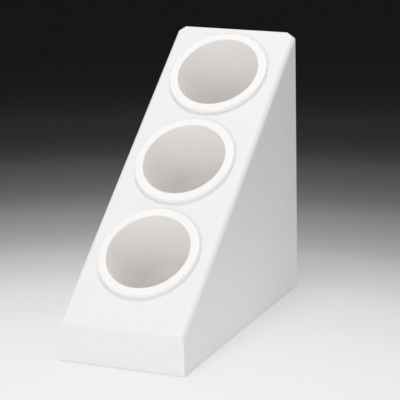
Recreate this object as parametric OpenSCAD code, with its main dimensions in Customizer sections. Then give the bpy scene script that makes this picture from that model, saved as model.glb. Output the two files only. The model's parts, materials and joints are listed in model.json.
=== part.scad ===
// Slanted table stand: one folded plastic sheet with three round holes in its
// sloping face, and a loose rimmed cup hanging in each hole.
// Millimetres, +Z up, the front lip faces -Y. The origin is the middle of the
// overall footprint, on the surface that the stand rests on.

/* [Cups] */
// Inside diameter of a cup at its mouth
mouth_d = 97; // [80:0.5:115]
// Width of the rolled rim around the mouth
rim_w = 10.75; // [7:0.25:12]
// Height of the rim above the sloping face
rim_h = 6; // [4.5:0.25:9]
// Wall thickness of a cup
cup_wall = 3; // [2:0.25:4]
// Depth of a cup below the sloping face
cup_depth = 101; // [80:1:120]
// Draft of the cup's wall from its axis, in degrees
cup_draft = 2.5; // [1:0.25:4]
// Outside radius of the turn from the cup's wall into its floor
cup_floor_r = 22; // [12:1:30]
// Outside radius on the rim's outer edge
rim_edge_r = 2.5; // [1:0.25:3]
// Radius on the mouth's edge
mouth_edge_r = 1.5; // [0.4:0.1:1.6]
// Outside diameter of the foot ring under the cup
foot_ring_d = 46; // [36:1:54]
// Height of that foot ring
foot_ring_h = 1.2; // [0.6:0.1:2]

/* [Layout on the sloping face] */
// Angle of the sloping face above the horizontal, in degrees
slope = 38.4; // [32:0.1:45]
// Gap between neighbouring rims
rim_gap = 11; // [8:0.5:30]
// Face left between the lip's fold and the lowest rim
front_margin = 40.75; // [30:0.25:60]
// Face left between the highest rim and the top edge
top_margin = 10.75; // [8:0.25:30]
// Face left between a rim and the outside of the side wall
side_margin = 15.75; // [14:0.25:30]
// Radial play of a cup in its hole
hole_play = 0.6; // [0.3:0.1:1.5]
// Play between a rim's skirt and the face
seat_play = 0.1; // [0.05:0.05:0.3]

/* [Sheet] */
// Thickness of the folded sheet and of the floor panel
sheet_t = 4; // [3:0.25:6]
// Inside radius of the folds along the two sloping edges
side_fold_r = 3.25; // [1:0.25:5]
// Inside radius of the fold between the face and the lip
lip_fold_r = 1; // [0.5:0.25:4]
// Width of the clip across each top corner
clip_w = 10; // [4:0.5:12]
// Height of the clip across each top corner
clip_h = 6.5; // [3:0.5:9]
// Space between the lowest cup and the floor panel
floor_play = 1.2; // [1:0.1:6]

/* [Feet] */
// Diameter of a rubber foot
foot_d = 12; // [8:0.5:16]
// Height of a rubber foot
foot_h = 1.5; // [1:0.1:4]
// How far the feet stand out below the sheet's lower edge
foot_proud = 0.3; // [0.2:0.1:1]
// Distance from the stand's outside to a foot's centre
foot_inset = 16; // [13:0.5:30]

/* [Hidden] */
$fn = 96;

sheet_white = [0.95, 0.96, 0.97];
cup_white = [0.98, 0.97, 0.94];
foot_grey = [0.80, 0.81, 0.82];

// Cutters reach this far past what they cut
over = 20;

// The cup, measured from its axis and from the sloping face
mouth_r = mouth_d / 2;
rim_r = mouth_r + rim_w;
body_r = mouth_r + cup_wall;
hole_r = body_r + hole_play;
skirt_in_r = rim_r - cup_wall;
cup_floor_in_r = cup_floor_r - cup_wall;

// The face, measured up the slope from the lip's fold
cup_pitch = 2 * rim_r + rim_gap;
cup_at = [for (i = [0:2]) front_margin + rim_r + i * cup_pitch];
face_len = cup_at[2] + rim_r + top_margin;

// Centre of the turn into the cup's floor, from the axis
turn_r = wall_r(body_r, cup_depth - cup_floor_r) - cup_floor_r / cos(cup_draft);
// How far a hanging cup reaches below and behind the point where its axis meets the face
cup_drop = (cup_depth - cup_floor_r) * cos(slope) + turn_r * sin(slope) + cup_floor_r;
cup_reach = (cup_depth - cup_floor_r) * sin(slope) + turn_r * cos(slope) + cup_floor_r;

// The stand: the lip is as high as the lowest cup needs
floor_top = foot_h + sheet_t;
lip_top = floor_top + floor_play + cup_drop - cup_at[0] * sin(slope);
stand_w = 2 * (rim_r + side_margin);
stand_d = face_len * cos(slope);
stand_h = lip_top + face_len * sin(slope);
overall_d = max(stand_d, cup_at[2] * cos(slope) + cup_reach);
front_y = -overall_d / 2;

// Radius of a drafted wall that starts at radius r, at a depth below the face
function wall_r(r, depth) = r - depth * tan(cup_draft);

// Children drawn on the sloping face: +Z out of it, +Y up the slope from the fold
module on_face(up_slope) {
    translate([0, front_y + up_slope * cos(slope), lip_top + up_slope * sin(slope)])
        rotate([slope, 0, 0])
            children();
}

// Half section of a closed thimble: drafted wall, rounded turn and flat floor
module thimble_section(top_r, depth, turn_out_r, up) {
    turn_x = wall_r(top_r, depth - turn_out_r) - turn_out_r / cos(cup_draft);
    turn_y = turn_out_r - depth;
    polygon([
        [0, up],
        [top_r, up],
        [top_r, 0],
        [turn_x + turn_out_r * cos(cup_draft), turn_y - turn_out_r * sin(cup_draft)],
        [turn_x, -depth],
        [0, -depth]
    ]);
    translate([turn_x, turn_y])
        intersection() {
            circle(r = turn_out_r);
            translate([0, -turn_out_r])
                square(turn_out_r);
        }
}

// Half section of the rim: a flat top with a rounded outer edge and a skirt
module rim_section() {
    difference() {
        union() {
            translate([0, seat_play])
                square([rim_r, rim_h - rim_edge_r - seat_play]);
            translate([0, seat_play])
                square([rim_r - rim_edge_r, rim_h - seat_play]);
            translate([rim_r - rim_edge_r, rim_h - rim_edge_r])
                circle(r = rim_edge_r);
        }
        translate([0, -over])
            square([skirt_in_r, over + rim_h - cup_wall]);
    }
}

// What is taken off the mouth's edge to round it
module mouth_edge_section() {
    difference() {
        translate([mouth_r - mouth_edge_r, rim_h - mouth_edge_r])
            square(2 * mouth_edge_r);
        translate([mouth_r + mouth_edge_r, rim_h - mouth_edge_r])
            circle(r = mouth_edge_r);
    }
}

// One loose cup about its own axis, with its seat at height 0
module cup() {
    color(cup_white)
        difference() {
            union() {
                rotate_extrude()
                    rim_section();
                rotate_extrude()
                    thimble_section(body_r, cup_depth, cup_floor_r, rim_h);
                translate([0, 0, -cup_depth - foot_ring_h])
                    difference() {
                        cylinder(d = foot_ring_d, h = foot_ring_h + cup_wall / 2);
                        translate([0, 0, -over])
                            cylinder(d = foot_ring_d - 2 * cup_wall, h = foot_ring_h + over);
                    }
            }
            rotate_extrude()
                thimble_section(mouth_r, cup_depth - cup_wall, cup_floor_in_r, over);
            rotate_extrude()
                mouth_edge_section();
        }
}

module cup_bottom() {
    on_face(cup_at[0]) cup();
}

module cup_middle() {
    on_face(cup_at[1]) cup();
}

module cup_top() {
    on_face(cup_at[2]) cup();
}

// Side outline, y to the back and z up: lip, fold and sloping face, moved in from the outside.
// The bottom and the back are moved out by the last value.
module side_outline(inset, out) {
    fold_r = lip_fold_r + sheet_t;
    turn = 90 - slope;
    corner = fold_r * tan(turn / 2);
    r = fold_r - inset;
    centre = [fold_r, lip_top - corner];
    back = stand_d + out;
    back_top = lip_top + back * tan(slope) - inset / cos(slope);
    polygon([
        [inset, foot_proud - out],
        [back, foot_proud - out],
        [back, back_top],
        centre + r * [-sin(slope), cos(slope)],
        [inset, centre[1]]
    ]);
    translate(centre)
        circle(r = r);
}

// Section across the slope: the face and the tops of the two sides, moved in from the outside
module slope_section(inset) {
    r = side_fold_r + sheet_t - inset;
    half = stand_w / 2 - inset;
    depth = stand_h + stand_d;
    translate([-half, -depth])
        square([2 * half, depth - inset - r]);
    translate([r - half, -depth])
        square([2 * (half - r), depth - inset]);
    for (side = [-1, 1])
        translate([side * (half - r), -inset - r])
            circle(r = r);
}

// Wedge of the stand, moved in by inset from the lip, the face and the sides
module wedge(inset, out) {
    intersection() {
        translate([0, front_y, 0])
            rotate([90, 0, 90])
                linear_extrude(stand_w + 2 * over, center = true)
                    side_outline(inset, out);
        on_face(0)
            rotate([90, 0, 0])
                translate([0, 0, -face_len - stand_d])
                    linear_extrude(face_len + 2 * stand_d)
                        slope_section(inset);
    }
}

// The folded sheet: face, lip and both sides in one, open at the bottom and the back
module folded_shell() {
    color(sheet_white)
        difference() {
            wedge(0, 0);
            wedge(sheet_t, over);
            for (s = cup_at)
                on_face(s)
                    cylinder(r = hole_r, h = 4 * sheet_t, center = true);
            for (side = [-1, 1])
                translate([side * stand_w / 2, front_y + stand_d, stand_h])
                    rotate([90, 0, 0])
                        linear_extrude(4 * over, center = true)
                            polygon([
                                [-side * clip_w, 0],
                                [-side * clip_w, over],
                                [side * over, over],
                                [side * over, -clip_h],
                                [0, -clip_h]
                            ]);
        }
}

// Flat panel bonded between the sides and behind the lip
module floor_panel() {
    color(sheet_white)
        translate([sheet_t - stand_w / 2, front_y + sheet_t, foot_h])
            cube([stand_w - 2 * sheet_t, stand_d - sheet_t, sheet_t]);
}

// One round rubber foot under a corner of the floor panel
module foot(side, back) {
    color(foot_grey)
        translate([
            side * (stand_w / 2 - foot_inset),
            front_y + foot_inset + back * (stand_d - 2 * foot_inset),
            0
        ])
            cylinder(d = foot_d, h = foot_h);
}

module foot_front_left() {
    foot(-1, 0);
}

module foot_front_right() {
    foot(1, 0);
}

module foot_rear_left() {
    foot(-1, 1);
}

module foot_rear_right() {
    foot(1, 1);
}

folded_shell();
floor_panel();
cup_bottom();
cup_middle();
cup_top();
foot_front_left();
foot_front_right();
foot_rear_left();
foot_rear_right();
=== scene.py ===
import json
import math

import bmesh
import bpy
from mathutils import Matrix, Vector


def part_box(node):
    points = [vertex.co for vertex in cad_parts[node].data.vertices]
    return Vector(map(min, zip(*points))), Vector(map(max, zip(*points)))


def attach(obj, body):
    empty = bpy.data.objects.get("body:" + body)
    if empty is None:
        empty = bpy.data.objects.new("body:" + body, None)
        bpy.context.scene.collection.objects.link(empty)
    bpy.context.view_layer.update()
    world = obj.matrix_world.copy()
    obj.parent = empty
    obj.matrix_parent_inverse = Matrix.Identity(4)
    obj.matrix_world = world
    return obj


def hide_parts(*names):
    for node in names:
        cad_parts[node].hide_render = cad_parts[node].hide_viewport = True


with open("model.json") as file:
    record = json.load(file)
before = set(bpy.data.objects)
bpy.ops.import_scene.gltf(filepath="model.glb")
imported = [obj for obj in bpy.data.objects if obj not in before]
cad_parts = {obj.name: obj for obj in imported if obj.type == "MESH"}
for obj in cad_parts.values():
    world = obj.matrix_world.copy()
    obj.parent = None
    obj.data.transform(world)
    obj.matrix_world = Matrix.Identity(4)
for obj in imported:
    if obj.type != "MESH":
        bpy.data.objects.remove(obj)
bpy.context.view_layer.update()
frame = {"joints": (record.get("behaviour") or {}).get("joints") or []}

# Folded sheet: one piece of white plastic sheet, sawn out, warmed along three lines and folded into
# the sloping face, the two side walls and the low front lip. The lip's ends are cemented to the
# sides, and the face has three round holes.
shell_low, shell_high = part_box("folded_shell")
out_of_face = Vector(frame["joints"][0]["axis"])
slope = math.atan2(-out_of_face.y, out_of_face.z)
up_face = Vector((0, math.cos(slope), math.sin(slope)))
to_right, to_back, upwards = Vector((1, 0, 0)), Vector((0, 1, 0)), Vector((0, 0, 1))
sheet_thickness = 0.004
side_fold_radius = 0.00725
lip_fold_radius = 0.005
fold_steps = 8
hole_radius = 0.0521
hole_steps = 144
first_cup = 0.100
cup_pitch = 0.1295
clip_width = 0.010
clip_height = 0.0065
broken_corner = 0.0003
corner_steps = 2
corner_angle = math.radians(40)
sharp_angle = math.radians(50)
flat_on = 0.9999
edge_on = 0.01
cut_past = 0.020
near_edge = 0.020
cut_tolerance = 1e-6
sheet_weld = 1e-5


def face_height(y, inset):
    """Height of the sloping face at y, moved in square to itself."""
    return shell_high.z - (shell_high.y - y) * math.tan(slope) - inset / math.cos(slope)


fold_line = Vector((0, shell_low.y, face_height(shell_low.y, 0)))
cup_places = [fold_line + up_face * (first_cup + i * cup_pitch) for i in range(3)]


def block(name, low, high):
    """A plain box between two corners, to be shaped further."""
    bpy.ops.object.select_all(action="DESELECT")
    low, high = Vector(low), Vector(high)
    bpy.ops.mesh.primitive_cube_add(size=1, location=(low + high) / 2, scale=high - low)
    bpy.ops.object.transform_apply()
    piece = bpy.context.object
    piece.name = name
    return piece


def open_all(piece):
    """Opens a piece in edit mode with everything selected."""
    bpy.context.view_layer.objects.active = piece
    bpy.ops.object.mode_set(mode="EDIT")
    bpy.ops.mesh.select_mode(type="VERT")
    bpy.ops.mesh.select_all(action="SELECT")


def pick(piece, kind, test):
    """Opens a piece in edit mode and selects the VERT, EDGE or FACE elements that pass a test."""
    open_all(piece)
    bpy.ops.mesh.select_mode(type=kind)
    bpy.ops.mesh.select_all(action="DESELECT")
    mesh = bmesh.from_edit_mesh(piece.data)
    for element in {"VERT": mesh.verts, "EDGE": mesh.edges, "FACE": mesh.faces}[kind]:
        element.select_set(test(element))
    mesh.select_flush_mode()
    bmesh.update_edit_mesh(piece.data)


def close():
    """Back to object mode."""
    bpy.ops.object.mode_set(mode="OBJECT")


def round_edges(piece, test, set_back, steps):
    """Rounds the edges of a piece that pass a test, starting this far back from each edge."""
    pick(piece, "EDGE", test)
    bpy.ops.mesh.bevel(offset=set_back, segments=steps, affect="EDGES")
    close()


def slice_at(piece, place, way, take_off):
    """Slices a piece along a plane, and takes off what lies beyond it where that is asked."""
    open_all(piece)
    bpy.ops.mesh.bisect(
        plane_co=place, plane_no=way, use_fill=take_off, clear_outer=take_off, threshold=cut_tolerance
    )
    close()


def cut(piece, tool, operation):
    """Cuts or trims a piece with another solid, which is used up."""
    modifier = piece.modifiers.new("cut", "BOOLEAN")
    modifier.operation = operation
    modifier.solver = "EXACT"
    modifier.object = tool
    bpy.context.view_layer.objects.active = piece
    bpy.ops.object.modifier_apply(modifier=modifier.name)
    bpy.data.objects.remove(tool)


def smooth(piece):
    """Smooth shading with flat faces kept flat and corners kept sharp."""
    bpy.ops.object.select_all(action="DESELECT")
    piece.select_set(True)
    bpy.context.view_layer.objects.active = piece
    bpy.ops.object.shade_smooth_by_angle(angle=sharp_angle)
    modifier = piece.modifiers.new("flat_faces", "WEIGHTED_NORMAL")
    modifier.keep_sharp = True
    bpy.ops.object.modifier_apply(modifier=modifier.name)


def stand_block(name, inset, past):
    """The stand as a full block, moved in from its lip, face and sides, and past its bottom and back."""
    half = shell_high.x - inset
    front = shell_low.y + inset
    back = shell_high.y + past
    bottom = shell_low.z - past
    back_top = face_height(back, inset)
    wedge = block(name, (-2 * half, front, bottom), (2 * half, back, back_top))
    pick(wedge, "VERT", lambda v: v.co.z > bottom + near_edge and v.co.y < front + near_edge)
    bpy.ops.transform.translate(value=(0, 0, face_height(front, inset) - back_top))
    close()

    def is_lip_fold(edge):
        """Whether an edge is where the face and the lip meet."""
        return all(v.co.z > bottom and v.co.y < front + near_edge for v in edge.verts)

    lip_tangent = (lip_fold_radius - inset) * math.tan((math.pi / 2 - slope) / 2)
    round_edges(wedge, is_lip_fold, lip_tangent, fold_steps)

    reach = shell_high.length * 3
    bar = block(name + "_bar", (-half, -reach, -reach), (half, reach, -inset))

    def is_bar_top(edge):
        """Whether an edge is on the top of the bar, which gives the folds along the sides."""
        return all(v.co.z > -inset - near_edge for v in edge.verts)

    round_edges(bar, is_bar_top, side_fold_radius - inset, fold_steps)
    bar.matrix_world = Matrix.Translation(fold_line) @ Matrix.Rotation(slope, 4, "X")
    cut(wedge, bar, "INTERSECT")
    return wedge


shell = stand_block("sheet_shell", 0, 0)
cut(shell, stand_block("hollow", sheet_thickness, cut_past), "DIFFERENCE")
for cup_place in cup_places:
    bpy.ops.object.select_all(action="DESELECT")
    bpy.ops.mesh.primitive_cylinder_add(
        vertices=hole_steps, radius=hole_radius, depth=cut_past, location=cup_place, rotation=(slope, 0, 0)
    )
    cut(shell, bpy.context.object, "DIFFERENCE")
clip_ways = [Vector((side * clip_height, 0, clip_width)).normalized() for side in (-1, 1)]
for clip_way in clip_ways:
    clip_start = math.copysign(shell_high.x - clip_width, clip_way.x)
    slice_at(shell, (clip_start, 0, shell_high.z), clip_way, True)


def is_free_corner(edge):
    """Whether an edge is an outside corner that shows, so not the edge that the sheet stands on."""
    turns_out = edge.is_convex and edge.calc_face_angle() > corner_angle
    return turns_out and any(v.co.z > shell_low.z + broken_corner for v in edge.verts)


round_edges(shell, is_free_corner, broken_corner, corner_steps)
open_all(shell)
bpy.ops.mesh.remove_doubles(threshold=sheet_weld)
close()


def faces_one_of(normal, ways):
    """Whether a surface faces one of some directions."""
    return any(normal.dot(way) > flat_on for way in ways)


def on_hole_wall(polygon):
    """Whether a face is on the wall of one of the three holes."""
    off_axis = [(polygon.center - cup_place).cross(out_of_face).length for cup_place in cup_places]
    along_axis = abs(polygon.normal.dot(out_of_face)) < edge_on
    return along_axis and min(off_axis) < hole_radius + broken_corner


# Sawn faces have saw marks; worked ones, such as folds and broken corners, have lost their satin
sawn_ways = [to_back, -upwards] + clip_ways
rolled_ways = [to_right, -to_right, -to_back, out_of_face, -out_of_face]
sawn = shell.data.attributes.new("sawn", "FLOAT", "FACE")
worked = shell.data.attributes.new("worked", "FLOAT", "FACE")
for polygon in shell.data.polygons:
    is_sawn = faces_one_of(polygon.normal, sawn_ways) or on_hole_wall(polygon)
    sawn.data[polygon.index].value = is_sawn
    worked.data[polygon.index].value = not is_sawn and not faces_one_of(polygon.normal, rolled_ways)
smooth(shell)


def step(tree, kind, inputs, **settings):
    """Adds a shader node; each of its inputs takes a socket to link or a value to hold."""
    made = tree.nodes.new("ShaderNode" + kind)
    for name, value in settings.items():
        setattr(made, name, value)
    for name, value in inputs.items():
        if isinstance(value, bpy.types.NodeSocket):
            tree.links.new(value, made.inputs[name])
        else:
            made.inputs[name].default_value = value
    return made


def blend(tree, factor, first, second):
    """Mixes two colours."""
    mix = step(tree, "Mix", {"Factor": factor, "A": first, "B": second}, data_type="RGBA")
    return mix.outputs["Result"]


def between(tree, value, low, high):
    """How far a value has come from a low level to a high one, as a 0 to 1 mask."""
    spread = step(tree, "MapRange", {"Value": value, "From Min": low, "From Max": high})
    return spread.outputs["Result"]


def scaled(tree, mask, low, high):
    """A 0 to 1 mask spread over a range of values."""
    spread = step(tree, "MapRange", {"Value": mask, "To Min": low, "To Max": high})
    return spread.outputs["Result"]


def added(tree, value, mask, amount):
    """A value raised by an amount where a mask is 1."""
    return step(tree, "Math", {0: mask, 1: amount, 2: value}, operation="MULTIPLY_ADD").outputs["Value"]


def combined(tree, operation, first, second):
    """The product or the larger of two values."""
    return step(tree, "Math", {0: first, 1: second}, operation=operation).outputs["Value"]


def noise(tree, place, scale, detail):
    """Cloudy noise, from 0 to 1."""
    return step(tree, "TexNoise", {"Vector": place, "Scale": scale, "Detail": detail}).outputs["Fac"]


# Surface of a plastic piece: cloudy mottling, fine grain, and hairlines rubbed in by wiping and handling
plastic_finish = bpy.data.node_groups.new("plastic_finish", "ShaderNodeTree")
hairline_turns = ((0.2, 0.5, 0.4), (0.9, -0.3, 1.7))
hairline_stretch = (1, 60, 60)
plastic_finish.interface.new_socket("Place", in_out="INPUT", socket_type="NodeSocketVector")
for socket in ("Mottle Scale", "Grain Scale", "Rub Scale"):
    plastic_finish.interface.new_socket(socket, in_out="INPUT", socket_type="NodeSocketFloat")
for socket in ("Mottle", "Grain", "Rubbed"):
    plastic_finish.interface.new_socket(socket, in_out="OUTPUT", socket_type="NodeSocketFloat")
given = plastic_finish.nodes.new("NodeGroupInput").outputs
mottle = between(plastic_finish, noise(plastic_finish, given["Place"], given["Mottle Scale"], 3), 0.3, 0.7)
grain = noise(plastic_finish, given["Place"], given["Grain Scale"], 1)
hairlines = []
for turn in hairline_turns:
    stretched = step(
        plastic_finish, "Mapping", {"Vector": given["Place"], "Rotation": turn, "Scale": hairline_stretch}
    )
    lines = noise(plastic_finish, stretched.outputs["Vector"], given["Rub Scale"], 0)
    hairlines.append(between(plastic_finish, lines, 0.68, 0.76))
all_hairlines = combined(plastic_finish, "MAXIMUM", *hairlines)
rubbed = combined(plastic_finish, "MULTIPLY", all_hairlines, mottle)
taken = plastic_finish.nodes.new("NodeGroupOutput").inputs
for socket, value in (("Mottle", mottle), ("Grain", grain), ("Rubbed", rubbed)):
    plastic_finish.links.new(value, taken[socket])


def finish_masks(tree, place, mottle_scale, grain_scale, rub_scale):
    """The masks of the plastic finish, at the scales of one material."""
    scales = {"Mottle Scale": mottle_scale, "Grain Scale": grain_scale, "Rub Scale": rub_scale}
    return step(tree, "Group", {"Place": place, **scales}, node_tree=plastic_finish).outputs


def new_material(name):
    """A new material that is made of nodes."""
    material = bpy.data.materials.new(name)
    material.use_nodes = True
    return material


def dress(tree, colour, roughness, height):
    """Feeds a material's colour, roughness and relief to its shader."""
    relief = step(tree, "Bump", {"Height": height, "Distance": 1, "Strength": 1})
    shader = tree.nodes["Principled BSDF"]
    tree.links.new(colour, shader.inputs["Base Color"])
    tree.links.new(roughness, shader.inputs["Roughness"])
    tree.links.new(relief.outputs["Normal"], shader.inputs["Normal"])
    return shader


sheet_white = new_material("satin_sheet_white")
tree = sheet_white.node_tree
on_sheet = step(tree, "TexCoord", {}).outputs["Object"]
finish = finish_masks(tree, on_sheet, mottle_scale=26, grain_scale=1300, rub_scale=9)
sawn_mask = step(tree, "Attribute", {}, attribute_name="sawn").outputs["Fac"]
worked_mask = step(tree, "Attribute", {}, attribute_name="worked").outputs["Fac"]
saw_marks = step(
    tree,
    "TexWave",
    {"Vector": on_sheet, "Scale": 260, "Distortion": 3, "Detail": 1},
    bands_direction="DIAGONAL",
).outputs["Fac"]
clean_white = blend(tree, finish["Mottle"], (0.885, 0.885, 0.898, 1), (0.896, 0.895, 0.906, 1))
handled_white = blend(tree, finish["Rubbed"], clean_white, (0.874, 0.873, 0.882, 1))
sawn_white = blend(tree, saw_marks, (0.83, 0.83, 0.83, 1), (0.88, 0.88, 0.885, 1))
sheet_roughness = scaled(tree, finish["Mottle"], 0.34, 0.42)
for mask, rougher in ((finish["Rubbed"], 0.12), (worked_mask, 0.16), (sawn_mask, 0.25)):
    sheet_roughness = added(tree, sheet_roughness, mask, rougher)
grain_height = scaled(tree, finish["Grain"], 0, 0.000003)
sheet_height = added(tree, grain_height, combined(tree, "MULTIPLY", sawn_mask, saw_marks), 0.00004)
shader = dress(tree, blend(tree, sawn_mask, handled_white, sawn_white), sheet_roughness, sheet_height)
shader.inputs["IOR"].default_value = 1.49
shell.data.materials.append(sheet_white)
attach(shell, "stand")
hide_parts("folded_shell")

# Floor panel: a flat piece of the same sheet, cut to fit between the side walls and behind the lip,
# and held there by a bead of solvent cement along its three closed sides.
panel_low, panel_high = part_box("floor_panel")
bead = 0.002
panel = block("floor_sheet", panel_low, panel_high)
slice_at(panel, (panel_low.x + bead, 0, 0), to_right, False)
slice_at(panel, (panel_high.x - bead, 0, 0), to_right, False)
slice_at(panel, (0, panel_low.y + bead, 0), to_back, False)


def at_bead(v):
    """Whether a corner of the panel is on its top, against the sides or the lip."""
    against = v.co.y < panel_low.y + bead / 2 or abs(v.co.x) > panel_high.x - bead / 2
    return against and v.co.z > panel_high.z - bead


def is_back_corner(edge):
    """Whether an edge is a corner at the panel's open end."""
    return all(v.co.y > panel_high.y - bead for v in edge.verts) and edge.calc_face_angle() > corner_angle


pick(panel, "VERT", at_bead)
bpy.ops.transform.translate(value=(0, 0, bead))
close()
round_edges(panel, is_back_corner, broken_corner, corner_steps)
sawn = panel.data.attributes.new("sawn", "FLOAT", "FACE")
for polygon in panel.data.polygons:
    sawn.data[polygon.index].value = faces_one_of(polygon.normal, [to_back])
smooth(panel)
panel.data.materials.append(sheet_white)
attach(panel, "stand")
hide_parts("floor_panel")

# Cups: three loose cups of warm white plastic, moulded in one piece with a rolled rim and a foot
# ring, and with the mark of the gate under the floor. Each hangs by its rim in a hole of the face.
mouth_radius = 0.0485
mouth_edge_radius = 0.0015
rim_radius = 0.05925
rim_height = 0.006
rim_edge_radius = 0.0025
cup_wall = 0.003
cup_depth = 0.101
cup_draft = math.radians(2.5)
floor_turn = 0.022
foot_ring_radius = 0.023
foot_ring_height = 0.0012
gate_radius = 0.003
gate_depth = 0.0005
seat_play = 0.0001
moulded_edge = 0.0004
arc_step = math.radians(6)
cup_steps = 144
cup_weld = 2e-5
body_radius = mouth_radius + cup_wall
skirt_radius = rim_radius - cup_wall
floor_radius = body_radius - cup_depth * math.tan(cup_draft)
inside_depth = cup_depth - cup_wall
inside_floor_radius = mouth_radius - inside_depth * math.tan(cup_draft)
foot_ring_bottom = -cup_depth - foot_ring_height


def rounded(corners):
    """Points along an outline whose corners (across, up, radius) are rounded by arcs."""
    points = []
    for i, (across, up, radius) in enumerate(corners):
        corner = Vector((across, up))
        if radius == 0:
            points.append(corner)
            continue
        before = (Vector(corners[i - 1][:2]) - corner).normalized()
        after = (Vector(corners[i + 1][:2]) - corner).normalized()
        half = before.angle(after) / 2
        centre = corner + (before + after).normalized() * radius / math.sin(half)
        start = corner + before * radius / math.tan(half) - centre
        turn = start.angle_signed(corner + after * radius / math.tan(half) - centre)
        count = max(2, math.ceil(abs(turn) / arc_step))
        for k in range(count + 1):
            points.append(centre + Matrix.Rotation(-turn * k / count, 2) @ start)
    return points


cup_outline = rounded([
    (0, -inside_depth, 0),
    (inside_floor_radius, -inside_depth, floor_turn - cup_wall),
    (mouth_radius, 0, 0),
    (mouth_radius, rim_height, mouth_edge_radius),
    (rim_radius, rim_height, rim_edge_radius),
    (rim_radius, seat_play, moulded_edge),
    (skirt_radius, seat_play, moulded_edge),
    (skirt_radius, rim_height - cup_wall, 2 * moulded_edge),
    (body_radius, rim_height - cup_wall, 2 * moulded_edge),
    (body_radius, 0, 0),
    (floor_radius, -cup_depth, floor_turn),
    (foot_ring_radius, -cup_depth, moulded_edge),
    (foot_ring_radius, foot_ring_bottom, moulded_edge),
    (foot_ring_radius - cup_wall, foot_ring_bottom, moulded_edge),
    (foot_ring_radius - cup_wall, -cup_depth, moulded_edge),
    (gate_radius, -cup_depth, gate_depth / 2),
    (gate_radius, -cup_depth + gate_depth, gate_depth / 3),
    (0, -cup_depth + gate_depth, 0),
])
bpy.ops.object.select_all(action="DESELECT")
bpy.ops.mesh.primitive_plane_add(size=0.001)
cup_master = bpy.context.object
open_all(cup_master)
bpy.ops.mesh.merge(type="CENTER")
bpy.ops.transform.translate(value=(cup_outline[0].x, 0, cup_outline[0].y))
for near, far in zip(cup_outline, cup_outline[1:]):
    along = far - near
    bpy.ops.mesh.extrude_vertices_move(TRANSFORM_OT_translate={"value": (along.x, 0, along.y)})
bpy.ops.mesh.select_all(action="SELECT")
bpy.ops.mesh.spin(steps=cup_steps, angle=2 * math.pi, center=(0, 0, 0), axis=upwards)
bpy.ops.mesh.select_all(action="SELECT")
bpy.ops.mesh.remove_doubles(threshold=cup_weld)
bpy.ops.mesh.normals_make_consistent(inside=False)
close()

cup_white = new_material("moulded_cup_white")
tree = cup_white.node_tree
on_cup = step(tree, "TexCoord", {}).outputs["Object"]
along_axis = step(tree, "Mapping", {"Vector": on_cup, "Rotation": (-slope, 0, 0)}).outputs["Vector"]
finish = finish_masks(tree, along_axis, mottle_scale=34, grain_scale=900, rub_scale=14)
down_wall = step(tree, "Mapping", {"Vector": along_axis, "Scale": (260, 260, 9)}).outputs["Vector"]
streaks = between(tree, noise(tree, down_wall, 1, 2), 0.5, 0.75)
moulded_white = blend(tree, finish["Mottle"], (0.968, 0.948, 0.931, 1), (0.980, 0.960, 0.944, 1))
handled_white = blend(tree, finish["Rubbed"], moulded_white, (0.971, 0.951, 0.935, 1))
streaked_white = blend(tree, streaks, handled_white, (0.969, 0.950, 0.934, 1))
cup_roughness = scaled(tree, finish["Mottle"], 0.285, 0.325)
for mask, rougher in ((finish["Rubbed"], 0.05), (streaks, 0.03)):
    cup_roughness = added(tree, cup_roughness, mask, rougher)
grain_height = scaled(tree, finish["Grain"], 0, 0.0000015)
shader = dress(tree, streaked_white, cup_roughness, added(tree, grain_height, finish["Mottle"], 0.000004))
shader.inputs["IOR"].default_value = 1.5

for node, cup_place in zip(("cup_bottom", "cup_middle", "cup_top"), cup_places):
    cup = cup_master.copy()
    cup.data = cup_master.data.copy()
    cup.name = "moulded_" + node
    bpy.context.collection.objects.link(cup)
    cup.data.transform(Matrix.Translation(cup_place) @ Matrix.Rotation(slope, 4, "X"))
    smooth(cup)
    cup.data.materials.append(cup_white)
    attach(cup, node)
    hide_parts(node)
bpy.data.objects.remove(cup_master)

# Feet: four round feet of grey rubber, moulded with a rounded lower edge and a hollow in the middle,
# and stuck under the corners of the floor panel.
foot_low, foot_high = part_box("foot_front_left")
foot_radius = (foot_high.x - foot_low.x) / 2
foot_height = foot_high.z - foot_low.z
foot_ring_width = foot_radius * 0.45
foot_edge_radius = 0.0004
foot_edge_steps = 4
foot_steps = 64
hollow_depth = 0.0005


def is_foot_edge(edge):
    """Whether an edge is a corner at the foot's lower end."""
    return all(v.co.z < hollow_depth / 2 for v in edge.verts) and edge.calc_face_angle() > corner_angle


bpy.ops.object.select_all(action="DESELECT")
bpy.ops.mesh.primitive_cylinder_add(
    vertices=foot_steps, radius=foot_radius, depth=foot_height, location=(0, 0, foot_height / 2)
)
bpy.ops.object.transform_apply()
foot_master = bpy.context.object
pick(foot_master, "FACE", lambda f: faces_one_of(f.normal, [-upwards]))
bpy.ops.mesh.inset(thickness=foot_ring_width)
bpy.ops.mesh.extrude_region_move(TRANSFORM_OT_translate={"value": (0, 0, hollow_depth)})
close()
round_edges(foot_master, is_foot_edge, foot_edge_radius, foot_edge_steps)

foot_rubber = new_material("grey_rubber")
tree = foot_rubber.node_tree
on_foot = step(tree, "TexCoord", {}).outputs["Object"]
finish = finish_masks(tree, on_foot, mottle_scale=180, grain_scale=2200, rub_scale=30)
speckled = blend(tree, finish["Mottle"], (0.51, 0.52, 0.53, 1), (0.57, 0.58, 0.59, 1))
dusty = blend(tree, finish["Rubbed"], speckled, (0.63, 0.635, 0.64, 1))
dress(tree, dusty, scaled(tree, finish["Mottle"], 0.7, 0.85), scaled(tree, finish["Grain"], 0, 0.00003))

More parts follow.
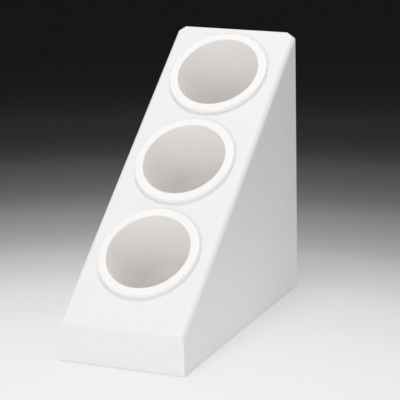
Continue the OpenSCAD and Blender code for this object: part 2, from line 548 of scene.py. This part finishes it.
for node in ("foot_front_left", "foot_front_right", "foot_rear_left", "foot_rear_right"):
    foot_low, foot_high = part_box(node)
    foot = foot_master.copy()
    foot.data = foot_master.data.copy()
    foot.name = "rubber_" + node
    bpy.context.collection.objects.link(foot)
    middle = (foot_low + foot_high) / 2
    foot.data.transform(Matrix.Translation((middle.x, middle.y, foot_low.z)))
    smooth(foot)
    foot.data.materials.append(foot_rubber)
    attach(foot, "stand")
    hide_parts(node)
bpy.data.objects.remove(foot_master)

# Table: a matt surface whose colour holds a painted pool of light, pale in front of the stand and going
# dark behind it and further off, tinted warm and cool by distance. As the camera and reflections see it,
# half of that painted pool takes the lamps' shade and the other half is a painted glow, out of reach of
# shade. The light that it sends back to the stand comes from a colour that falls off towards the back
# only, as painted shade behind the stand.
table_size = 30
table_roughness = 0.8
painted_pool_middle = (0.09, -0.45, 0)
painted_pool_reach = 2.0
warm_tint = Vector((1, 0.985, 0.972))
cool_tint = Vector((0.995, 1, 1.02))
# Painted pool of light: distance from its middle, brightness and tint at each step.
painted_pool_levels = [
    (0.2, 0.97, warm_tint), (0.45, 0.89, warm_tint), (0.6, 0.73, warm_tint), (0.75, 0.44, cool_tint),
    (0.95, 0.19, cool_tint), (1.2, 0.058, cool_tint), (1.5, 0.021, warm_tint), (2.0, 0.01, warm_tint),
]
shade_share = 0.5
shade_free_light = 0.9
dark_from = 0.5
bpy.ops.object.select_all(action="DESELECT")
bpy.ops.mesh.primitive_plane_add(size=table_size)
table = bpy.context.object
table.name = "table"


def seen_mask(tree):
    """1 for a ray from the camera, a reflection or glass, and 0 for one that lights something."""
    path = step(tree, "LightPath", {}).outputs
    mirrored = combined(tree, "MAXIMUM", path["Is Glossy Ray"], path["Is Transmission Ray"])
    return combined(tree, "MAXIMUM", path["Is Camera Ray"], mirrored)


pale_table = new_material("pale_table")
tree = pale_table.node_tree
on_table = step(tree, "TexCoord", {}).outputs["Object"]
off_middle = step(tree, "VectorMath", {0: on_table, 1: painted_pool_middle}, operation="DISTANCE").outputs["Value"]
ramp = step(tree, "ValToRGB", {"Fac": between(tree, off_middle, 0, painted_pool_reach)})
ramp.color_ramp.interpolation = "CARDINAL"
stops = ramp.color_ramp.elements
while len(stops) < len(painted_pool_levels):
    stops.new(1)
for stop, (off, level, tint) in zip(stops, painted_pool_levels):
    stop.position = off / painted_pool_reach
    stop.color = (*tint * level, 1)
painted_light_pool = ramp.outputs["Color"]
# Half of the painted pool is colour that takes the lamps' shade; the rest is a painted glow, below.
shaded_pool = blend(tree, shade_share, (0, 0, 0, 1), painted_light_pool)
# Colour for the light that the table sends back: pale in front and painted dark behind, as painted shade.
to_the_back = step(tree, "SeparateXYZ", {"Vector": on_table}).outputs["Y"]
behind = between(tree, to_the_back, 0, dark_from)
bounce_colour_with_painted_shade = blend(tree, behind, (0.85, 0.85, 0.85, 1), (0.12, 0.12, 0.12, 1))
seen = seen_mask(tree)
# Painted glow: for the camera and reflections the table emits the painted pool, with no shade on it.
shade_free = scaled(tree, seen, 0, (1 - shade_share) * shade_free_light)
shader = tree.nodes["Principled BSDF"]
shader.inputs["Roughness"].default_value = table_roughness
shader.inputs["Specular IOR Level"].default_value = 0
tree.links.new(blend(tree, seen, bounce_colour_with_painted_shade, shaded_pool), shader.inputs["Base Color"])
tree.links.new(painted_light_pool, shader.inputs["Emission Color"])
tree.links.new(shade_free, shader.inputs["Emission Strength"])
table.data.materials.append(pale_table)

# Studio light: an even white room, dark where it is seen, with a large soft light overhead and
# another low in front, both turned to the stand.
room_level = 0.695
seen_room_level = 0.02
lamp_size = 1.0
lamp_target = Vector((0, 0, 0.12))
studio = bpy.data.worlds.new("studio")
bpy.context.scene.world = studio
studio.use_nodes = True
tree = studio.node_tree
room = tree.nodes["Background"]
room.inputs["Color"].default_value = (1, 1, 1, 1)
tree.links.new(scaled(tree, seen_mask(tree), room_level, seen_room_level), room.inputs["Strength"])


def soft_light(name, place, power):
    """A round soft light, hidden from the camera."""
    light = bpy.data.lights.new(name, "AREA")
    light.shape = "DISK"
    light.size = lamp_size
    light.energy = power
    lamp = bpy.data.objects.new(name, light)
    bpy.context.collection.objects.link(lamp)
    lamp.visible_camera = False
    lamp.location = place
    lamp.rotation_euler = (lamp_target - Vector(place)).to_track_quat("-Z", "Y").to_euler()


soft_light("overhead", place=(0, -0.09, 2.62), power=15.3)
soft_light("front", place=(0, -2.48, 0.47), power=10.6)

# Camera: a long lens in front and to the right of the stand, a little above it. Its place and turns
# were fitted to the stand's corners and the three mouths in the photograph.
image_width = 400
focal_length = 2015.2
camera_place = (0.9153, -2.0253, 0.7621)
camera_yaw = math.radians(23.976)
camera_pitch = math.radians(15.639)
camera_roll = math.radians(-1.25)
camera_lens = bpy.data.cameras.new("camera")
camera = bpy.data.objects.new("camera", camera_lens)
bpy.context.collection.objects.link(camera)
camera_lens.sensor_width = 36
camera_lens.lens = focal_length / image_width * camera_lens.sensor_width
camera.matrix_world = (
    Matrix.Translation(camera_place)
    @ Matrix.Rotation(camera_yaw, 4, "Z")
    @ Matrix.Rotation(math.pi / 2 - camera_pitch, 4, "X")
    @ Matrix.Rotation(camera_roll, 4, "Z")
)
bpy.context.scene.camera = camera
bpy.context.scene.view_settings.view_transform = "Standard"
